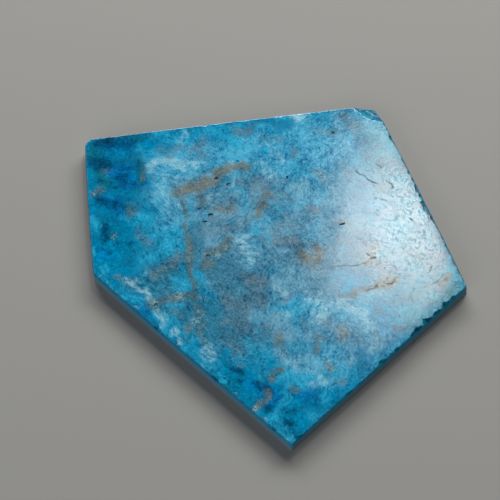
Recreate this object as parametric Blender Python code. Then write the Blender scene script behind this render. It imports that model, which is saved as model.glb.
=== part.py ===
# A polished slab of blue apatite: one flat piece of stone, sawn to a five-sided outline, with its edges
# rounded by hand, one broken corner and small chips along two of its sides.
# +X runs along the slab's width, +Y towards its long back side, +Z out of the polished face.
# The origin is on the surface that the slab lies on, below the middle of its box.

import math
import random

import bmesh
import bpy
from mathutils import Matrix, Vector, noise

MM = 0.001

# Thickness between the sawn underside and the polished face, and the hand-rounded edge of both.
THICKNESS = 3.8 * MM
EDGE_ROUNDING = 0.4 * MM
EDGE_STEPS = 3
ROUNDED_FROM = 60  # degrees between two faces from which the edge between them is rounded
SHARP_FROM = 35  # degrees between two faces from which the edge between them is shaded sharp

# Corners in order round the slab, seen from above. "at" is where the two sides would meet on the polished
# face, "radius" is how far the corner is worn round, and "foot" is how far the slanting saw cut carries
# the corner outwards at the underside. "bow" is how much the side that starts here bulges at its middle.
CORNERS = {
    "back_left": {"at": (-45.3, 34.3), "radius": 2.2, "foot": (0.0, 0.0), "bow": 0.15},
    "back_right": {"at": (26.2, 44.9), "radius": 1.2, "foot": (0.0, 0.0), "bow": 0.20},
    "right": {"at": (44.7, -6.2), "radius": 1.0, "foot": (0.6, 0.0), "bow": 0.05},
    "front": {"at": (4.0, -44.7), "radius": 0.5, "foot": (0.0, 0.0), "bow": 0.10},
    "left": {"at": (-40.9, -3.1), "radius": 2.6, "foot": (0.0, 0.0), "bow": 0.20},
}
ARC_STEPS = 6
SIDE_STEPS = 8

# The broken corner: the lowest part of a large egg-shaped scoop takes an almost flat slanting facet off the
# back right corner. Sizes in mm: the scoop's middle seen from above, half its length along the break, half
# its width across the break, half its height, and how far its middle stands above the face.
BROKEN_CORNER = {
    "at": (33.4, 56.4),
    "half_length": 16.1,
    "half_width": 22.2,
    "half_height": 10.4,
    "lift": 6.08,
    "turn": -31.0,
}

# Chips along the sides. Each is the distance in mm from the corner that the side starts at, then the
# chip's length along the edge, its reach into the polished face and its depth down the side.
CHIPS = {
    "back_right": [
        (6.4, 1.9, 0.45, 0.45),
        (9.1, 1.1, 0.55, 0.40),
        (10.7, 2.3, 0.70, 0.50),
        (21.2, 2.4, 0.60, 0.45),
        (23.8, 2.2, 0.55, 0.40),
        (26.2, 3.4, 0.90, 0.50),
        (28.6, 2.6, 0.80, 0.45),
        (31.0, 4.0, 1.20, 0.55),
        (33.2, 2.4, 0.90, 0.50),
        (35.6, 3.0, 0.65, 0.45),
        (43.0, 1.9, 0.50, 0.45),
    ],
    "right": [
        (4.6, 2.0, 0.70, 0.7),
        (7.0, 2.9, 0.95, 0.9),
        (10.0, 2.7, 0.55, 0.6),
        (13.3, 3.1, 0.95, 0.9),
        (16.8, 4.6, 0.75, 0.8),
        (23.3, 1.8, 0.50, 0.6),
        (27.8, 2.6, 0.70, 0.7),
        (38.4, 3.0, 0.40, 0.5),
        (53.6, 1.5, 0.60, 0.7),
    ],
    "front": [
        (5.2, 1.6, 0.50, 0.6),
        (22.5, 2.2, 0.55, 0.6),
        (41.0, 1.7, 0.50, 0.6),
    ],
}
# Open pits in the polished face, most of them where a rusty seam has lost a grain. Each is a place on the
# face, then a length, a width and a depth, all in mm, and the direction of its length in degrees.
PITS = [
    (-12.9, 23.1, 1.1, 0.7, 0.30, 30),
    (-10.2, 21.4, 1.4, 0.6, 0.28, 50),
    (-17.0, 14.4, 1.0, 0.5, 0.25, 35),
    (-14.2, 12.8, 1.4, 0.9, 0.28, 10),
    (-15.5, 11.0, 1.1, 0.5, 0.25, 0),
    (-14.5, 1.7, 1.2, 0.8, 0.32, 20),
    (4.1, 23.4, 0.9, 0.6, 0.26, 100),
    (15.5, 36.4, 0.9, 0.7, 0.25, 0),
    (16.8, 10.3, 1.5, 0.4, 0.26, 15),
    (-26.2, -11.0, 1.2, 0.7, 0.28, 60),
]
CHIP_STANDS_OUT = 0.35  # share of a chip's reach by which its scoop is centred outside the edge
CHIP_STANDS_UP = 0.30  # share of its depth by which the scoop is centred above the polished face
CHIP_OVERRUN = 1.08  # a scoop is this much longer than its chip, because it narrows at both ends
CHIP_SLANT = 7  # degrees by which a chip may lie askew to its edge

# A broken surface is uneven by this share of its size, in humps this many times smaller than the break.
# Each break takes its unevenness from another place, this many steps along.
CHIP_UNEVENNESS = 0.14
CORNER_UNEVENNESS = 0.01
BREAK_HUMPS = 2.3
BREAK_STEP = Vector((3.7, 1.9, 0.6))
LARGE_BREAK_DETAIL = 4
SMALL_BREAK_DETAIL = 2
SEED = 29


def clear_scene():
    for obj in list(bpy.data.objects):
        bpy.data.objects.remove(obj, do_unlink=True)


def rounded_corner(before, corner, after, radius):
    """Where a circle touches the two sides that meet at a corner, and its centre."""
    to_before = (before - corner).normalized()
    to_after = (after - corner).normalized()
    half_angle = to_before.angle(to_after) / 2
    reach = radius / math.tan(half_angle)
    centre = corner + (to_before + to_after).normalized() * radius / math.sin(half_angle)
    return corner + to_before * reach, corner + to_after * reach, centre


def outline(at_foot):
    """The slab's outline in metres: an arc at each corner and a slightly bowed line along each side."""
    corners = list(CORNERS.values())
    places = []
    for corner in corners:
        shift = Vector(corner["foot"]) if at_foot else Vector((0.0, 0.0))
        places.append((Vector(corner["at"]) + shift) * MM)
    arcs = []
    for i, corner in enumerate(corners):
        after = places[(i + 1) % len(places)]
        arcs.append(rounded_corner(places[i - 1], places[i], after, corner["radius"] * MM))
    points = []
    for i, corner in enumerate(corners):
        start, end, centre = arcs[i]
        turn = (start - centre).angle_signed(end - centre)
        for step in range(ARC_STEPS + 1):
            spoke = (start - centre).copy()
            spoke.rotate(Matrix.Rotation(-turn * step / ARC_STEPS, 2))
            points.append(centre + spoke)
        following = arcs[(i + 1) % len(arcs)][0]
        along = following - end
        outward = Vector((-along.y, along.x)).normalized()
        for step in range(1, SIDE_STEPS):
            share = step / SIDE_STEPS
            bulge = corner["bow"] * MM * 4 * share * (1 - share)
            points.append(end + along * share + outward * bulge)
    return points


def make_slab():
    mesh = bmesh.new()
    foot = [mesh.verts.new((p.x, p.y, 0.0)) for p in outline(at_foot=True)]
    face = [mesh.verts.new((p.x, p.y, THICKNESS)) for p in outline(at_foot=False)]
    mesh.faces.new(foot)
    mesh.faces.new(face)
    for i in range(len(foot)):
        following = (i + 1) % len(foot)
        mesh.faces.new((foot[i], foot[following], face[following], face[i]))
    bmesh.ops.recalc_face_normals(mesh, faces=mesh.faces)
    data = bpy.data.meshes.new("apatite_slab")
    mesh.to_mesh(data)
    mesh.free()
    slab = bpy.data.objects.new("apatite_slab", data)
    bpy.context.scene.collection.objects.link(slab)
    rounding = slab.modifiers.new("rounded_edge", "BEVEL")
    rounding.width = EDGE_ROUNDING
    rounding.segments = EDGE_STEPS
    rounding.limit_method = "ANGLE"
    rounding.angle_limit = math.radians(ROUNDED_FROM)
    return slab


def make_scoop(name, size, place, turn, collection, detail, seed, unevenness=CHIP_UNEVENNESS):
    """An egg-shaped cutter, uneven like broken stone, that leaves a shell-shaped hollow."""
    mesh = bmesh.new()
    bmesh.ops.create_icosphere(mesh, subdivisions=detail, radius=1.0)
    offset = BREAK_STEP * seed
    for vertex in mesh.verts:
        vertex.co *= 1 + unevenness * noise.noise(vertex.co * BREAK_HUMPS + offset)
    bmesh.ops.scale(mesh, vec=size, verts=mesh.verts)
    data = bpy.data.meshes.new(name)
    mesh.to_mesh(data)
    mesh.free()
    scoop = bpy.data.objects.new(name, data)
    scoop.location = place
    scoop.rotation_euler = (0.0, 0.0, turn)
    scoop.hide_render = True
    scoop.display_type = "WIRE"
    collection.objects.link(scoop)
    return scoop


def side_frame(corner_name, distance):
    """The point on a side that is this far from its starting corner, with the side's two directions."""
    names = list(CORNERS)
    i = names.index(corner_name)
    start = Vector(CORNERS[names[i]]["at"]) * MM
    end = Vector(CORNERS[names[(i + 1) % len(names)]]["at"]) * MM
    along = (end - start).normalized()
    outward = Vector((-along.y, along.x))
    share = distance * MM / (end - start).length
    bulge = CORNERS[corner_name]["bow"] * MM * 4 * share * (1 - share)
    return start + along * distance * MM + outward * bulge, along, outward


def make_chips(collection):
    rng = random.Random(SEED)
    broken = BROKEN_CORNER
    x, y = broken["at"]
    make_scoop(
        "broken_corner",
        Vector((broken["half_length"], broken["half_width"], broken["half_height"])) * MM,
        Vector((x, y, 0.0)) * MM + Vector((0.0, 0.0, THICKNESS + broken["lift"] * MM)),
        math.radians(broken["turn"]),
        collection,
        LARGE_BREAK_DETAIL,
        SEED,
        CORNER_UNEVENNESS,
    )
    for corner_name, chips in CHIPS.items():
        for number, (distance, length, reach, depth) in enumerate(chips):
            point, along, outward = side_frame(corner_name, distance)
            centre = point + outward * reach * MM * CHIP_STANDS_OUT
            height = THICKNESS + depth * MM * CHIP_STANDS_UP
            slant = math.radians(rng.uniform(-CHIP_SLANT, CHIP_SLANT))
            half_length = length / 2 * CHIP_OVERRUN
            size = Vector((half_length, reach * (1 + CHIP_STANDS_OUT), depth * (1 + CHIP_STANDS_UP)))
            make_scoop(
                f"chip_{corner_name}_{number}",
                size * MM,
                (centre.x, centre.y, height),
                math.atan2(along.y, along.x) + slant,
                collection,
                SMALL_BREAK_DETAIL,
                SEED + number,
            )


def make_pits(collection):
    for number, (x, y, length, width, depth, turn) in enumerate(PITS):
        make_scoop(
            f"pit_{number}",
            Vector((length / 2, width / 2, depth)) * MM,
            (x * MM, y * MM, THICKNESS),
            math.radians(turn),
            collection,
            SMALL_BREAK_DETAIL,
            SEED + number,
        )


def apatite_material():
    material = bpy.data.materials.new("polished_blue_apatite")
    material.use_nodes = True
    shader = material.node_tree.nodes["Principled BSDF"]
    shader.inputs["Base Color"].default_value = (0.045, 0.270, 0.440, 1.0)
    shader.inputs["Roughness"].default_value = 0.22
    shader.inputs["Metallic"].default_value = 0.0
    shader.inputs["IOR"].default_value = 1.63
    return material


def main():
    clear_scene()
    slab = make_slab()
    cutters = bpy.data.collections.new("breaks")
    cutters.hide_render = True
    bpy.context.scene.collection.children.link(cutters)
    make_chips(cutters)
    make_pits(cutters)
    breaks = slab.modifiers.new("breaks", "BOOLEAN")
    breaks.operation = "DIFFERENCE"
    breaks.operand_type = "COLLECTION"
    breaks.collection = cutters
    breaks.solver = "EXACT"
    slab.data.materials.append(apatite_material())
    slab.data.shade_smooth()
    slab.data.set_sharp_from_angle(angle=math.radians(SHARP_FROM))


main()
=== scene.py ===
import math
import random

import bpy
import numpy as np
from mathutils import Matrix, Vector, noise
from mathutils.geometry import delaunay_2d_cdt


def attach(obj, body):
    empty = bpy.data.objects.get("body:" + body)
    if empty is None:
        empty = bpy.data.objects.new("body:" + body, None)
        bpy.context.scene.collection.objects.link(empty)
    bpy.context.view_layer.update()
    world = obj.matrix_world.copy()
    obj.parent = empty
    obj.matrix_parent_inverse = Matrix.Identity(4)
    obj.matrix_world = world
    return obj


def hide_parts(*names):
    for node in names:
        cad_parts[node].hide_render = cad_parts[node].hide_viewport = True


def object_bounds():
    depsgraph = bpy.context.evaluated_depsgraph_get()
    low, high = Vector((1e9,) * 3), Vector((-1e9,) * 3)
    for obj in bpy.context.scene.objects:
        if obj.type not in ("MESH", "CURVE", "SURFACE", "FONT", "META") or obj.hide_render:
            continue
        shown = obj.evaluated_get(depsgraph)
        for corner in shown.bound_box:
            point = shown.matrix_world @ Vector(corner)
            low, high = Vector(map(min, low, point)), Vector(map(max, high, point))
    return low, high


# A polished slab of blue apatite lying flat: one thin piece of stone with five sawn sides, one broken
# corner and chipped edges. Places and sizes are in mm, seen from above, and turned to metres at the end.
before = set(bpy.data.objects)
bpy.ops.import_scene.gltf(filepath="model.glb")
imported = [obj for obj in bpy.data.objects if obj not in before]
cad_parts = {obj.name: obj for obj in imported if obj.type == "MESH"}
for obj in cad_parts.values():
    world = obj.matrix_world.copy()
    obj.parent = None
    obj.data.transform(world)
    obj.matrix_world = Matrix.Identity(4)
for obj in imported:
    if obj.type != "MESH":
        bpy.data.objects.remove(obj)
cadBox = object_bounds()
mm = 0.001
noise.seed_set(4)  # without it the noise differs from run to run
print("frame loaded")

# ---- camera, floor and light
view = {
    "place": (-4.87, -142.5, 256.25),
    "lookAt": (-4.87, 3.26, 3.8),
    "lens": 90.49,
    "sensor": 36.0,
}

cameraData = bpy.data.cameras.new("tableCamera")
cameraData.lens = view["lens"]
cameraData.sensor_width = view["sensor"]
cameraData.clip_start = 0.01
cameraData.clip_end = 20.0
camera = bpy.data.objects.new("tableCamera", cameraData)
camera.location = Vector(view["place"]) * mm
lookDirection = Vector(view["lookAt"]) - Vector(view["place"])
camera.rotation_euler = lookDirection.to_track_quat("-Z", "Y").to_euler()
bpy.context.scene.collection.objects.link(camera)
bpy.context.scene.camera = camera
bpy.context.scene.view_settings.view_transform = "Standard"


def hexColour(text, alpha=1.0):
    # sRGB hex to the linear values that Blender's sockets take
    parts = [int(text[i : i + 2], 16) / 255 for i in (0, 2, 4)]
    linear = [p / 12.92 if p <= 0.04045 else ((p + 0.055) / 1.055) ** 2.4 for p in parts]
    return (*linear, alpha)


def addNode(tree, kind, settings=None, inputs=None, out=0):
    # one node with its settings and links; an input is a number, a colour or another node's output
    made = tree.nodes.new(kind)
    for name, value in (settings or {}).items():
        setattr(made, name, value)
    for name, value in (inputs or {}).items():
        if isinstance(value, bpy.types.NodeSocket):
            tree.links.new(value, made.inputs[name])
        else:
            made.inputs[name].default_value = value
    return made.outputs[out] if len(made.outputs) else made


lights = {
    # low window behind the slab and to its right: most of the light, and the long soft shadow in front
    "window": {"from": (0.10, 0.832, 0.545), "distance": 0.9, "size": (1.3, 0.30), "watts": 12.7, "tint": "fffefb"},
    # softbox, placed where the polished face mirrors it near its right side
    "softbox": {"from": (0.1290, 0.5130, 0.8485), "distance": 0.6, "size": (0.072, 0.094), "watts": 0.43, "tint": "fffdf8"},
    # weak fill, low from the front left
    "fill": {"from": (-0.45, -0.78, 0.43), "distance": 1.0, "size": (0.9, 0.5), "watts": 3.7, "tint": "f4f8ff"},
}
softboxMirrorSpot = Vector((33.6, 9.7, 3.8)) * mm
for lightName, light in lights.items():
    lampData = bpy.data.lights.new(lightName, "AREA")
    lampData.shape = "RECTANGLE"
    lampData.size, lampData.size_y = light["size"]
    lampData.energy = light["watts"]
    lampData.color = hexColour(light["tint"])[:3]
    lamp = bpy.data.objects.new(lightName, lampData)
    direction = Vector(light["from"]).normalized()
    lamp.location = softboxMirrorSpot + direction * light["distance"]
    lamp.rotation_euler = (-direction).to_track_quat("-Z", "Y").to_euler()
    bpy.context.scene.collection.objects.link(lamp)

room = bpy.data.worlds.new("dimRoom")
room.use_nodes = True
room.node_tree.nodes["Background"].inputs["Color"].default_value = hexColour("9fb4c0")
room.node_tree.nodes["Background"].inputs["Strength"].default_value = 0.02
bpy.context.scene.world = room

floorSettings = {"size": 3.0, "colour": "9d9c99", "roughness": 0.75}
floorMesh = bpy.data.meshes.new("floor")
half = floorSettings["size"] / 2
floorMesh.from_pydata([(-half, -half, 0), (half, -half, 0), (half, half, 0), (-half, half, 0)], [], [(0, 1, 2, 3)])
floor = bpy.data.objects.new("floor", floorMesh)
bpy.context.scene.collection.objects.link(floor)
floorMaterial = bpy.data.materials.new("mattPaper")  # plain matt paper: gives soft shadows and no shine
floorMaterial.use_nodes = True
floorShader = floorMaterial.node_tree.nodes["Principled BSDF"]
floorShader.inputs["Base Color"].default_value = hexColour(floorSettings["colour"])
floorShader.inputs["Roughness"].default_value = floorSettings["roughness"]
floorShader.inputs["Specular IOR Level"].default_value = 0.1
floor.data.materials.append(floorMaterial)
print("camera, lights and floor made")

# ---- the slab's outline and its breaks, the same values as the solid's
slab = {
    "thickness": 3.8,
    "rounding": 0.40,  # hand-rubbed edge of the face
    "footRounding": 0.30,
    "rollWidth": 3.2,  # the polishing wheel takes a little more off near the edges
    "rollDepth": 0.06,
    "cornerRoll": {"at": (44.5, -6.0), "width": 9.0, "depth": 0.10},
    "roundingSteps": 5,
    "wallRows": 8,
    "sideSpacing": 0.30,  # between two points along a side
    "arcSteps": 12,
    "faceSpacing": 0.36,
    "breakSpacing": 0.17,  # finer points in and round each break and crack
    "undersideSpacing": 3.0,
}
# "rubbed" is how round the edge is along the side that starts at the corner
corners = {
    "back_left": {"at": (-45.3, 34.3), "radius": 2.2, "foot": (0.0, 0.0), "bow": 0.15, "rubbed": 0.28},
    "back_right": {"at": (26.2, 44.9), "radius": 1.2, "foot": (0.0, 0.0), "bow": 0.20, "rubbed": 0.7},
    "right": {"at": (44.7, -6.2), "radius": 1.0, "foot": (0.6, 0.0), "bow": 0.05, "rubbed": 0.8},
    "front": {"at": (4.0, -44.7), "radius": 0.5, "foot": (0.0, 0.0), "bow": 0.10, "rubbed": 1.0},
    "left": {"at": (-40.9, -3.1), "radius": 2.6, "foot": (0.0, 0.0), "bow": 0.20, "rubbed": 0.9},
}
brokenCorner = {"at": (33.4, 56.4), "half": (16.1, 22.2, 10.4), "lift": 6.08, "turn": -31.0}
# distance from the corner that the side starts at, length, reach into the face, depth
chips = {
    "back_right": [
        (6.4, 1.9, 0.45, 0.45), (9.1, 1.1, 0.55, 0.40), (10.7, 2.3, 0.70, 0.50), (21.2, 2.4, 0.60, 0.45),
        (23.8, 2.2, 0.55, 0.40), (26.2, 3.4, 0.90, 0.50), (28.6, 2.6, 0.80, 0.45), (31.0, 4.0, 1.20, 0.55),
        (33.2, 2.4, 0.90, 0.50), (35.6, 3.0, 0.65, 0.45), (43.0, 1.9, 0.50, 0.45),
    ],
    "right": [
        (4.6, 2.0, 0.70, 0.7), (7.0, 2.9, 0.95, 0.9), (10.0, 2.7, 0.55, 0.6), (13.3, 3.1, 0.95, 0.9),
        (16.8, 4.6, 0.75, 0.8), (23.3, 1.8, 0.50, 0.6), (27.8, 2.6, 0.70, 0.7), (38.4, 3.0, 0.40, 0.5),
        (53.6, 1.5, 0.60, 0.7),
    ],
    "front": [(5.2, 1.6, 0.50, 0.6), (22.5, 2.2, 0.55, 0.6), (41.0, 1.7, 0.50, 0.6)],
}
# place, length, width, depth, and the direction of the length in degrees
pits = [
    (-12.9, 23.1, 1.1, 0.7, 0.30, 30), (-10.2, 21.4, 1.4, 0.6, 0.28, 50), (-17.0, 14.4, 1.0, 0.5, 0.25, 35),
    (-14.2, 12.8, 1.4, 0.9, 0.28, 10), (-15.5, 11.0, 1.1, 0.5, 0.25, 0), (-14.5, 1.7, 1.2, 0.8, 0.32, 20),
    (4.1, 23.4, 0.9, 0.6, 0.26, 100), (15.5, 36.4, 0.9, 0.7, 0.25, 0), (16.8, 10.3, 1.5, 0.4, 0.26, 15),
    (-26.2, -11.0, 1.2, 0.7, 0.28, 60),
]
# fine cracks and holes stained dark: width, strength from 0 to 1, points of the line
cracks = [
    (0.34, 1.0, [(20.3, 25.3), (21.2, 24.6), (22.4, 23.9), (23.2, 22.9), (24.4, 22.2), (25.3, 21.7)]),
    (0.25, 0.9, [(20.6, 26.2), (21.2, 24.9)]), (0.4, 0.8, [(25.9, 27.0), (27, 26.3)]),
    (0.28, 0.9, [(27.6, 22.5), (28.8, 21.5), (29.6, 20.5)]), (0.24, 0.9, [(13.6, -1.2), (16, -0.9), (18.4, -0.9), (20.5, -0.4), (21.8, 0.2)]),
    (0.25, 0.7, [(3.2, 12), (4.5, 10.3), (5.5, 9)]), (0.25, 0.7, [(9.8, -3.4), (10.1, -5), (11.5, -6.8), (12.3, -8.6)]),
    (0.4, 0.9, [(10.3, -18.5), (11.9, -19.8)]), (0.3, 0.8, [(-21.3, 16.2), (-20.1, 14)]), (0.35, 0.9, [(-17.6, 15), (-16.4, 14.1)]),
    (0.25, 0.7, [(1.8, -12), (0.4, -14.0)]), (0.5, 0.7, [(0.3, -14.3)]), (0.5, 0.6, [(0.3, -16.6)]), (0.3, 0.8, [(23.9, -19.5), (24, -21.6)]),
    (0.22, 0.7, [(28.2, -1), (29, -2.2)]), (0.3, 0.8, [(-0.4, -31.9), (-2.1, -34.5)]), (0.22, 0.8, [(39.4, -3), (38.5, -4.5), (36.5, -6)]),
    (0.4, 0.8, [(36.2, 6.4)]), (0.4, 0.9, [(32.8, 11.7), (33.3, 11.3)]), (0.35, 0.7, [(35, -1.6)]), (0.35, 0.9, [(22.3, 2.4), (22.8, 2.0)]),
    (0.28, 0.9, [(22.4, 1.1), (23.3, 1.3), (24.4, 1.4)]), (0.3, 0.8, [(28.8, -13.4), (29, -14)]), (0.25, 0.6, [(32.6, -12.3), (32.2, -13.8)]),
    (0.6, 0.7, [(-1.5, 39.2)]), (0.5, 0.5, [(-9.9, 31.4)]), (0.5, 0.6, [(1.5, 19.7)]), (0.4, 0.8, [(7.9, 1.7)]), (0.6, 0.5, [(31.3, 23.8)]),
    (0.3, 0.9, [(21.6, -7.6), (23.2, -6.9), (24.4, -6.2)]), (0.3, 0.9, [(26.4, -5.6), (28.1, -5.1)]), (0.7, 0.9, [(10.6, -22.3)]),
    (0.6, 0.8, [(13.9, -29.9)]), (0.35, 0.7, [(12.8, -26.4), (12.6, -27.4)]), (0.7, 0.9, [(-13.2, 23.0), (-12.7, 23.3)]),
    (0.6, 0.9, [(-10.4, 21.1), (-10, 21.7)]), (0.6, 0.7, [(-14.7, 12.5), (-13.7, 13.1)]), (0.5, 0.8, [(-15.9, 11.0), (-15.3, 11.0)]),
    (0.6, 0.9, [(-14.7, 1.7), (-14.2, 1.8)]), (0.5, 0.8, [(4.1, 23.5)]), (0.5, 0.6, [(15.5, 36.4)]), (0.4, 1.0, [(16.2, 10.3), (17.3, 10.5)]),
    (0.25, 0.7, [(37.2, -1.0), (36.4, -2.6)]), (0.22, 0.7, [(26.0, 17.5), (28.2, 16.2)]), (0.22, 0.6, [(19.5, 6.8), (21.6, 5.6), (23.2, 5.8)]),
    (0.22, 0.6, [(33.5, 2.8), (34.6, 0.9)]), (0.22, 0.6, [(29.5, 8.5), (31.5, 7.4)]), (0.22, 0.6, [(15.2, 14.6), (17.4, 13.0)]),
]
breaks = {
    "standsOut": 0.35,
    "standsUp": 0.30,
    "overrun": 1.08,
    "unevenness": 0.16,  # share of the break's depth
    "ripple": 0.003,  # mm, shell-like ripples
    "rippleWidth": 1.0,
    "ragged": 0.35,  # mm by which a break's rim wanders
    "mostUneven": 0.008,  # mm
    "nicks": {"back_left": 0.10, "back_right": 0.9, "right": 0.95, "front": 0.45, "left": 0.30},  # per mm
    "nickLength": (0.4, 1.5),
    "nickReach": (0.18, 0.42),
    "nickDepth": (0.12, 0.35),
    "seed": 29,
}


def buildOutline(atFoot):
    # points round the slab with their outward directions and roundness; face and foot have the same number
    names = list(corners)
    rubbedHere = []
    places = []
    for name in names:
        shift = Vector(corners[name]["foot"]) if atFoot else Vector((0.0, 0.0))
        places.append(Vector(corners[name]["at"]) + shift)
    arcs = []
    for i, name in enumerate(names):
        corner, before, after = places[i], places[i - 1], places[(i + 1) % len(places)]
        toBefore = (before - corner).normalized()
        toAfter = (after - corner).normalized()
        halfAngle = toBefore.angle(toAfter) / 2
        reach = corners[name]["radius"] / math.tan(halfAngle)
        centre = corner + (toBefore + toAfter).normalized() * corners[name]["radius"] / math.sin(halfAngle)
        arcs.append((corner + toBefore * reach, corner + toAfter * reach, centre))
    points, outwards = [], []
    for i, name in enumerate(names):
        start, end, centre = arcs[i]
        first, last = start - centre, end - centre
        turn = first.angle_signed(last)
        for step in range(slab["arcSteps"] + 1):
            angle = -turn * step / slab["arcSteps"]
            spoke = Vector((
                first.x * math.cos(angle) - first.y * math.sin(angle),
                first.x * math.sin(angle) + first.y * math.cos(angle),
            ))
            points.append(centre + spoke)
            outwards.append(spoke.normalized())
            share = step / slab["arcSteps"]
            rubbedHere.append(corners[names[i - 1]]["rubbed"] * (1 - share) + corners[name]["rubbed"] * share)
        following = arcs[(i + 1) % len(arcs)][0]
        along = following - end
        outward = Vector((-along.y, along.x)).normalized()
        sideLength = math.dist(corners[name]["at"], corners[names[(i + 1) % len(names)]]["at"])
        steps = round(sideLength / slab["sideSpacing"] * 0.93)
        for step in range(1, steps):
            share = step / steps
            points.append(end + along * share + outward * corners[name]["bow"] * 4 * share * (1 - share))
            outwards.append(outward)
            rubbedHere.append(corners[name]["rubbed"])
    return np.array([p[:] for p in points]), np.array([o[:] for o in outwards]), np.array(rubbedHere)


def listBreaks():
    # every scoop taken out of the face: centre, height of the centre, half sizes, turn, seed
    rng = random.Random(breaks["seed"])
    top = slab["thickness"]
    found = [(brokenCorner["at"], top + brokenCorner["lift"], brokenCorner["half"], math.radians(brokenCorner["turn"]))]
    names = list(corners)
    for i, name in enumerate(names):
        start = Vector(corners[name]["at"])
        end = Vector(corners[names[(i + 1) % len(names)]]["at"])
        length = (end - start).length
        along = (end - start) / length
        outward = Vector((-along.y, along.x))
        marks = [(*chip, breaks["overrun"]) for chip in chips.get(name, [])]
        for nick in range(round(length * breaks["nicks"][name])):
            marks.append((
                rng.uniform(0.5, length - 0.5), rng.uniform(*breaks["nickLength"]),
                rng.uniform(*breaks["nickReach"]), rng.uniform(*breaks["nickDepth"]), 1.0,
            ))
        for distance, size, reach, depth, overrun in marks:
            share = distance / length
            bulge = corners[name]["bow"] * 4 * share * (1 - share)
            centre = start + along * distance + outward * (bulge + reach * breaks["standsOut"])
            halves = (size / 2 * overrun, reach * (1 + breaks["standsOut"]), depth * (1 + breaks["standsUp"]))
            slant = math.radians(rng.uniform(-7, 7))
            found.append((centre[:], top + depth * breaks["standsUp"], halves, math.atan2(along.y, along.x) + slant))
    for x, y, size, width, depth, turn in pits:
        found.append(((x, y), top, (size / 2, width / 2, depth), math.radians(turn)))
    return found


def noiseAt(places, step, offset, octaves=1):
    # smooth noise from -1 to 1 in two directions, with humps of about this many mm
    values = np.zeros((len(places), 2))
    for octave in range(octaves):
        scale = 2 ** octave / step
        part = [noise.noise_vector((x * scale + offset, y * scale - offset, offset * 1.7))[:2] for x, y in places]
        values += np.array(part) / 2 ** octave
    return values


allBreaks = listBreaks()


def breakHeight(places, ceiling):
    # how high the stone still stands at each place, and how much of it is freshly broken
    height = ceiling.copy()
    depthGone = np.zeros(len(places))
    for number, ((cx, cy), centreHeight, (a, b, c), turn) in enumerate(allBreaks):
        reach = max(a, b) + 0.6
        near = np.where((abs(places[:, 0] - cx) < reach) & (abs(places[:, 1] - cy) < reach))[0]
        if not len(near):
            continue
        local = places[near] + noiseAt(places[near], 0.9, number * 3.1, 2) * breaks["ragged"] * min(1, b)
        dx, dy = local[:, 0] - cx, local[:, 1] - cy
        u = (dx * math.cos(turn) + dy * math.sin(turn)) / a
        v = (-dx * math.sin(turn) + dy * math.cos(turn)) / b
        distance = u * u + v * v
        inside = distance < 1
        uneven = min(breaks["unevenness"] * c, breaks["mostUneven"])
        rough = noiseAt(places[near], 0.8, number * 1.3, 2)[:, 0] * uneven
        ring = np.sqrt(distance) * b / breaks["rippleWidth"] * 2 * math.pi
        low = centreHeight - c * np.sqrt(np.clip(1 - distance, 0, 1)) + (rough + np.sin(ring) * breaks["ripple"] * min(1, c))
        lower = inside & (low < height[near])
        height[near[lower]] = low[lower]
        depthGone[near[lower]] = np.maximum(depthGone[near[lower]], (ceiling[near] - low)[lower])
    return height, depthGone


# ---- the mesh: a fine face, a rubbed edge, sawn sides and a plain underside
topOutline, topOutward, rubbedShare = buildOutline(False)
footOutline, footOutward, rubbedShare = buildOutline(True)
ringCount = len(topOutline)
gaps = np.linalg.norm(np.roll(topOutline, -1, axis=0) - topOutline, axis=1)
distanceAlong = np.concatenate([[0], np.cumsum(gaps)])
roundings = slab["rounding"] * rubbedShare * (1 + 0.22 * noiseAt(topOutline, 6.0, 4.0, 2)[:, 0])
innerRing = topOutline - topOutward * roundings[:, None]


def insideRing(points, ring):
    inside = np.zeros(len(points), bool)
    following = np.roll(ring, -1, axis=0)
    for (x1, y1), (x2, y2) in zip(ring, following):
        if y1 == y2:
            continue
        crossing = (points[:, 1] > y1) != (points[:, 1] > y2)
        inside ^= crossing & (points[:, 0] < (x2 - x1) * (points[:, 1] - y1) / (y2 - y1) + x1)
    return inside


def distanceToRing(points, ring):
    best = np.full(len(points), 1e9)
    for start in range(0, len(ring), 64):
        part = ring[start : start + 64]
        best = np.minimum(best, np.sqrt(((points[:, None, :] - part[None]) ** 2).sum(2)).min(1))
    return best


def distanceToLine(points, line):
    best = np.full(len(points), 1e9)
    for start, end in zip(line, line[1:] or line):
        start, end = np.array(start, float), np.array(end, float)
        along = end - start
        share = np.clip(((points - start) @ along) / max(along @ along, 1e-9), 0, 1)
        best = np.minimum(best, np.linalg.norm(points - start - share[:, None] * along, axis=1))
    return best


def lattice(spacing, low, high, jitter, rng):
    rows = np.arange(low[1], high[1], spacing * math.sqrt(3) / 2)
    points = []
    for number, y in enumerate(rows):
        xs = np.arange(low[0], high[0], spacing) + (spacing / 2 if number % 2 else 0)
        points.append(np.stack([xs, np.full(len(xs), y)], 1))
    points = np.concatenate(points)
    return points + rng.uniform(-jitter, jitter, points.shape) * spacing


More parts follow.
